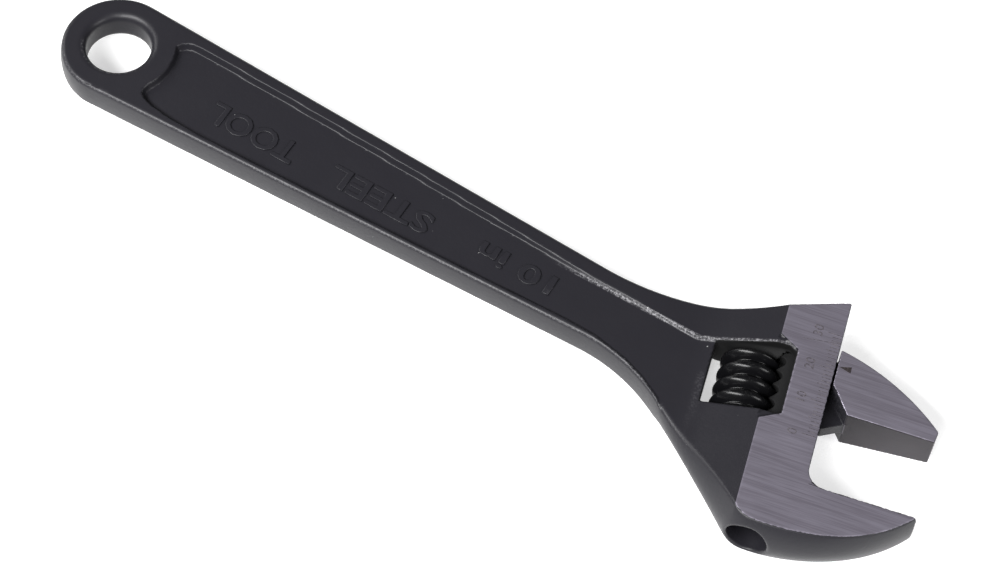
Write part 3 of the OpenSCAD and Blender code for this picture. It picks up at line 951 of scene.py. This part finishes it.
# The jaw's neck and rack get painted shade.
steel_and_black("ground_steel", jaw_faces, jaw_rub, jaw_band, neck_and_shank).wear(jaw)

# %% [markdown]
# The worm is black too, but oiled and smooth from turning under a thumb. The pin and the spring
# are plain drawn steel with fine rings from the lathe and the die. The cut marks are a dull
# dark grey, darker in the arrow than in the scale.

# %% Finish of the small parts
WORM_BLACK, WORM_RUB = (0.003, 0.003, 0.0035, 1), (0.04, 0.04, 0.04, 1)
DULL_STEEL, BRIGHT_STEEL = (0.16, 0.155, 0.16, 1), (0.5, 0.48, 0.48, 1)


def oiled_black():
    """Near black with a low roughness that varies, and a little rub on the crests."""
    s = Shader("black_worm")
    x, y, z, u, v = s.axes()
    cloud = s.noise(x, y, z, 0.8, 3.0)
    across = (u - WORM_U) * (u - WORM_U) + z * z
    crest = across.ramp(52.0, 62.0)
    spot = s.noise(x, y, z, 2.2, 3.0).ramp(0.5, 0.7)
    s.put(s.bsdf.inputs["Base Color"], s.mix(crest * spot * 0.2, WORM_BLACK, WORM_RUB))
    s.bsdf.inputs["Specular IOR Level"].default_value = 0.2
    s.put(s.bsdf.inputs["Roughness"], 0.16 + cloud * 0.12)
    s.bump(cloud, 0.00003, 0.4)
    return s


def turned_steel(name, rings):
    """Grey metal with fine rings every so many tenths of a millimetre along v."""
    s = Shader(name)
    x, y, z, u, v = s.axes()
    ring = s.noise(v * rings, 0.0, 0.0, 1.0, 2.0)
    stain = s.noise(x, y, z, 0.7, 3.0)
    tone = s.mix(ring * 0.6 + stain * 0.4, DULL_STEEL, BRIGHT_STEEL)
    s.put(s.bsdf.inputs["Base Color"], tone)
    s.put(s.bsdf.inputs["Roughness"], 0.25 + ring * 0.15)
    s.bsdf.inputs["Metallic"].default_value = 1.0
    s.bump(ring, 0.00003, 0.4)
    return s


def etched(name, deep, pale):
    """Dark, dull filling of the cut marks, uneven in depth of colour between two tones."""
    s = Shader(name)
    x, y, z, u, v = s.axes()
    worn = s.noise(x, y, z, 1.8, 3.0).ramp(0.35, 0.7)
    s.put(s.bsdf.inputs["Base Color"], s.mix(worn, deep, pale))
    s.put(s.bsdf.inputs["Roughness"], 0.5 + worn * 0.2)
    s.bsdf.inputs["Specular IOR Level"].default_value = 0.25
    return s


oiled_black().wear(worm)
turned_steel("plain_steel", 6.0).wear(pin)
turned_steel("spring_wire", 2.0).wear(spring)
etched_mark = etched("etched_mark", (0.045, 0.04, 0.048, 1), (0.1, 0.09, 0.1, 1))
etched_arrow = etched("etched_arrow", (0.016, 0.013, 0.014, 1), (0.034, 0.028, 0.028, 1))
for mark in [ticks, scratch, *numbers]:
    etched_mark.wear(mark)
etched_arrow.wear(arrow)
for word in words:
    body_finish.wear(word)

# %% [markdown]
# ## Riding on the bodies
# Each piece says which body of the mechanism carries it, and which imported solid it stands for.

# %% Bodies, slots and replaced solids
for piece, body, node, slot in ((forging, "body", "body", "black_forging"),
                                (jaw, "movable_jaw", "movable_jaw", "ground_steel"),
                                (worm, "worm", "worm", "black_worm"),
                                (spring, "body", "worm_spring", "plain_steel")):
    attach(piece, body)
    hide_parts(node)
for mark in [ticks, scratch, *numbers, *words]:
    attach(mark, "body")
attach(arrow, "movable_jaw")

# %% [markdown]
# ## The studio
# The tool lies on a white table. The table glows, as a lit white sweep does, which lights the
# lower walls from below and keeps the shadows pale.

# %% Table
MIDDLE_X = 0.11                         # metres, about half way along the tool
floor_z = cad_box[0][2] - 0.0006        # a trace under the lowest point


def table_sheet(size=4.0, n=60):
    """A wide flat grid of n by n points at the floor's height, centred under the tool."""
    t = np.linspace(-size / 2, size / 2, n)
    gx, gy = np.meshgrid(t, t, indexing="ij")
    points = np.stack([gx + MIDDLE_X, gy, np.full_like(gx, floor_z)], axis=-1).reshape(-1, 3) / MM
    i, j = np.meshgrid(np.arange(n - 1), np.arange(n - 1), indexing="ij")
    i, j = i.ravel(), j.ravel()
    return points, np.stack([i * n + j, (i + 1) * n + j, (i + 1) * n + j + 1, i * n + j + 1], axis=1)


floor = put_mesh("table_sheet", *table_sheet())
paper = Shader("white_paper")
px, py, pz, pu, pv = paper.axes()
fibre = paper.noise(px, py, pz, 0.03, 3.0)
sheet_tone = paper.mix(fibre, (0.66, 0.66, 0.66, 1), (0.69, 0.69, 0.69, 1))
paper.put(paper.bsdf.inputs["Base Color"], sheet_tone)
paper.bsdf.inputs["Roughness"].default_value = 0.9
paper.bsdf.inputs["Specular IOR Level"].default_value = 0.0
paper.bsdf.inputs["Emission Color"].default_value = (1, 1, 1, 1)
paper.bsdf.inputs["Emission Strength"].default_value = 0.55
paper.wear(floor)

# %% [markdown]
# A long soft box stands in front and above, with its long side along the tool. Two weaker boxes
# stand beyond the tool's two ends, and a faint even air fills what is left.

# %% Lights
def placed(x, y, z, place):
    """Matrix whose columns are three axes and a place."""
    rows = np.eye(4)
    rows[:3] = np.stack([x, y, z, place], axis=1)
    return Matrix(rows.tolist())


def soft_light(name, place, aim, size, power):
    """Soft box with two sides and a power, turned so that its face looks at aim."""
    light = bpy.data.lights.new(name, "AREA")
    light.shape, light.size, light.size_y, light.energy = "RECTANGLE", size[0], size[1], power
    obj = bpy.data.objects.new(name, light)
    bpy.context.scene.collection.objects.link(obj)
    direction = np.array(place, float) - np.array(aim, float)
    z = direction / np.linalg.norm(direction)
    x = np.cross([0, 1, 0] if abs(z[2]) > 0.9 else [0, 0, 1], z)
    x /= np.linalg.norm(x)
    y = np.cross(z, x)
    obj.matrix_world = placed(x, y, z, place)
    return obj


centre = (MIDDLE_X, 0.0, 0.0)
soft_light("front_key", (-0.12, -0.66, 0.80), centre, (1.1, 0.3), 27)
soft_light("right_side", (1.0, -0.1, 0.5), centre, (0.4, 0.5), 5)
soft_light("left_side", (-0.9, 0.1, 0.6), centre, (0.4, 0.5), 4)
world = bpy.data.worlds.new("studio_air")
bpy.context.scene.world = world
world.use_nodes = True
air = world.node_tree.nodes["Background"]
air.inputs["Color"].default_value = (1.0, 1.0, 1.0, 1)
air.inputs["Strength"].default_value = 0.14

# %% [markdown]
# ## The camera
# It looks down on the tool from the front at nearly sixty degrees, a little rolled, through a
# long lens that keeps the jaws parallel.

# %% Camera
def rotation_from(forward, right):
    """Camera axes: z is against forward, x is right less its share of z, y is their product."""
    z = -np.array(forward) / np.linalg.norm(forward)
    x = np.array(right) - np.dot(right, z) * z
    x /= np.linalg.norm(x)
    return x, np.cross(z, x), z


eye = (0.2932, -0.3651, 0.6480)
cx, cy, cz = rotation_from((-0.227, 0.472, -0.852), (0.857, 0.512, 0.056))
lens = bpy.data.cameras.new("studio_camera")
lens.sensor_width, lens.lens = 36.0, 108.11
lens.clip_start, lens.clip_end = 0.05, 20
camera = bpy.data.objects.new("studio_camera", lens)
bpy.context.scene.collection.objects.link(camera)
camera.matrix_world = placed(cx, cy, cz, eye)
bpy.context.scene.camera = camera
bpy.context.scene.view_settings.view_transform = "Standard"
